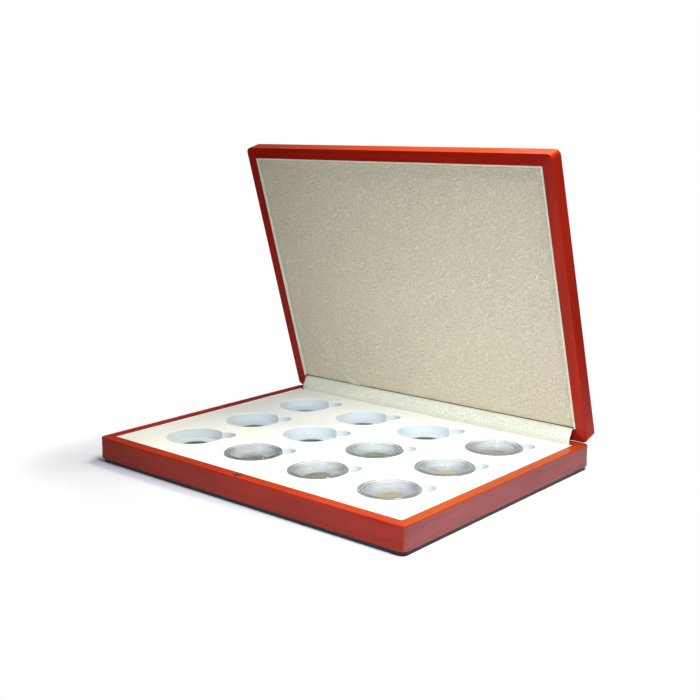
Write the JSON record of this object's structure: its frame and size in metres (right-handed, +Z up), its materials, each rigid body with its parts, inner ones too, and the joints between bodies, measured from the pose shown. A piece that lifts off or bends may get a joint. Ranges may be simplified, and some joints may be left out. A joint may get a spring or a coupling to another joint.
{
  "type": "coin display tray",
  "caption": "Flat wooden presentation case with a padded hinged lid and a flocked tray of round wells that hold clear coin capsules.",
  "frame": {"origin": "centre of the underside of the felt board, on which the case rests", "axes": "+X along the front to the right, +Y from the front to the hinges, +Z up"},
  "size_m": [0.305, 0.2411, 0.2469],
  "materials": {
    "mahogany": "red mahogany stain under semi-gloss lacquer",
    "plywood": "bare plywood",
    "black_felt": "black felt",
    "dark_board": "dark grey-green fibreboard",
    "white_lining": "white cloth on card",
    "beige_lining": "beige cloth on card",
    "white_flock": "white flock",
    "magnet_steel": "dark nickel plate",
    "lacquered_magnet": "lacquered over with the wood",
    "brass": "plain brass, lightly tarnished",
    "leatherette": "pebbled beige leatherette",
    "ribbon_satin": "pale green-grey satin",
    "strip_cloth": "pale grey-green leather cloth",
    "capsule_clear": "clear acrylic",
    "coin_grey": "toned grey-green metal",
    "coin_bronze": "brown bronze",
    "coin_gold": "pale gold"
  },
  "bodies": {
    "base": {"base_front_rail": "mahogany", "base_back_rail": "mahogany", "base_left_rail": "mahogany", "base_right_rail": "mahogany", "base_bottom_panel": "plywood", "felt_board": "black_felt", "well_floor_board": "dark_board", "base_lining_strips": "white_lining", "coin_insert": "white_flock", "base_magnet": "magnet_steel", "hinge_cover_strip": "strip_cloth", "base_hinge_screws": "brass", "hinge_left_pin": "brass", "hinge_right_pin": "brass", "hinge_left_base_leaf": "brass", "hinge_right_base_leaf": "brass"},
    "lid": {"lid_front_rail": "mahogany", "lid_back_rail": "mahogany", "lid_left_rail": "mahogany", "lid_right_rail": "mahogany", "lid_top_panel": "mahogany", "lid_lining_strips": "beige_lining", "lid_magnet": "lacquered_magnet", "lid_pad_board": "dark_board", "lid_pad": "leatherette", "lid_ribbon": "ribbon_satin", "lid_hinge_screws": "brass", "hinge_left_lid_leaf": "brass", "hinge_right_lid_leaf": "brass"},
    "capsule_a2": {"capsule_a2_base": "capsule_clear"},
    "capsule_a2_lid": {"capsule_a2_top": "capsule_clear"},
    "capsule_a3": {"capsule_a3_base": "capsule_clear", "coin_a3": "coin_grey"},
    "capsule_a3_lid": {"capsule_a3_top": "capsule_clear"},
    "capsule_a4": {"capsule_a4_base": "capsule_clear", "coin_a4": "coin_bronze"},
    "capsule_a4_lid": {"capsule_a4_top": "capsule_clear"},
    "capsule_b3": {"capsule_b3_base": "capsule_clear", "coin_b3": "coin_grey"},
    "capsule_b3_lid": {"capsule_b3_top": "capsule_clear"},
    "capsule_b4": {"capsule_b4_base": "capsule_clear", "coin_b4": "coin_gold"},
    "capsule_b4_lid": {"capsule_b4_top": "capsule_clear"},
    "capsule_c4": {"capsule_c4_base": "capsule_clear", "coin_c4": "coin_bronze"},
    "capsule_c4_lid": {"capsule_c4_top": "capsule_clear"}
  },
  "joints": [
    {"name": "lid_hinge", "type": "hinge", "parent": "base", "child": "lid", "pos_m": [0, 0.115, 0.0224], "axis": [-1, 0, 0], "range_deg": [-73.6, 21.4], "deforming": ["hinge_cover_strip"]},
    {"name": "capsule_a2_lift", "type": "slide", "parent": "base", "child": "capsule_a2", "axis": [0, 0, 1], "range_m": [0, 0.03]},
    {"name": "capsule_a2_opening", "type": "slide", "parent": "capsule_a2", "child": "capsule_a2_lid", "axis": [0, 0, 1], "range_m": [0, 0.012]},
    {"name": "capsule_a3_lift", "type": "slide", "parent": "base", "child": "capsule_a3", "axis": [0, 0, 1], "range_m": [0, 0.03]},
    {"name": "capsule_a3_opening", "type": "slide", "parent": "capsule_a3", "child": "capsule_a3_lid", "axis": [0, 0, 1], "range_m": [0, 0.012]},
    {"name": "capsule_a4_lift", "type": "slide", "parent": "base", "child": "capsule_a4", "axis": [0, 0, 1], "range_m": [0, 0.03]},
    {"name": "capsule_a4_opening", "type": "slide", "parent": "capsule_a4", "child": "capsule_a4_lid", "axis": [0, 0, 1], "range_m": [0, 0.012]},
    {"name": "capsule_b3_lift", "type": "slide", "parent": "base", "child": "capsule_b3", "axis": [0, 0, 1], "range_m": [0, 0.03]},
    {"name": "capsule_b3_opening", "type": "slide", "parent": "capsule_b3", "child": "capsule_b3_lid", "axis": [0, 0, 1], "range_m": [0, 0.012]},
    {"name": "capsule_b4_lift", "type": "slide", "parent": "base", "child": "capsule_b4", "axis": [0, 0, 1], "range_m": [0, 0.03]},
    {"name": "capsule_b4_opening", "type": "slide", "parent": "capsule_b4", "child": "capsule_b4_lid", "axis": [0, 0, 1], "range_m": [0, 0.012]},
    {"name": "capsule_c4_lift", "type": "slide", "parent": "base", "child": "capsule_c4", "axis": [0, 0, 1], "range_m": [0, 0.03]},
    {"name": "capsule_c4_opening", "type": "slide", "parent": "capsule_c4", "child": "capsule_c4_lid", "axis": [0, 0, 1], "range_m": [0, 0.012]}
  ]
}
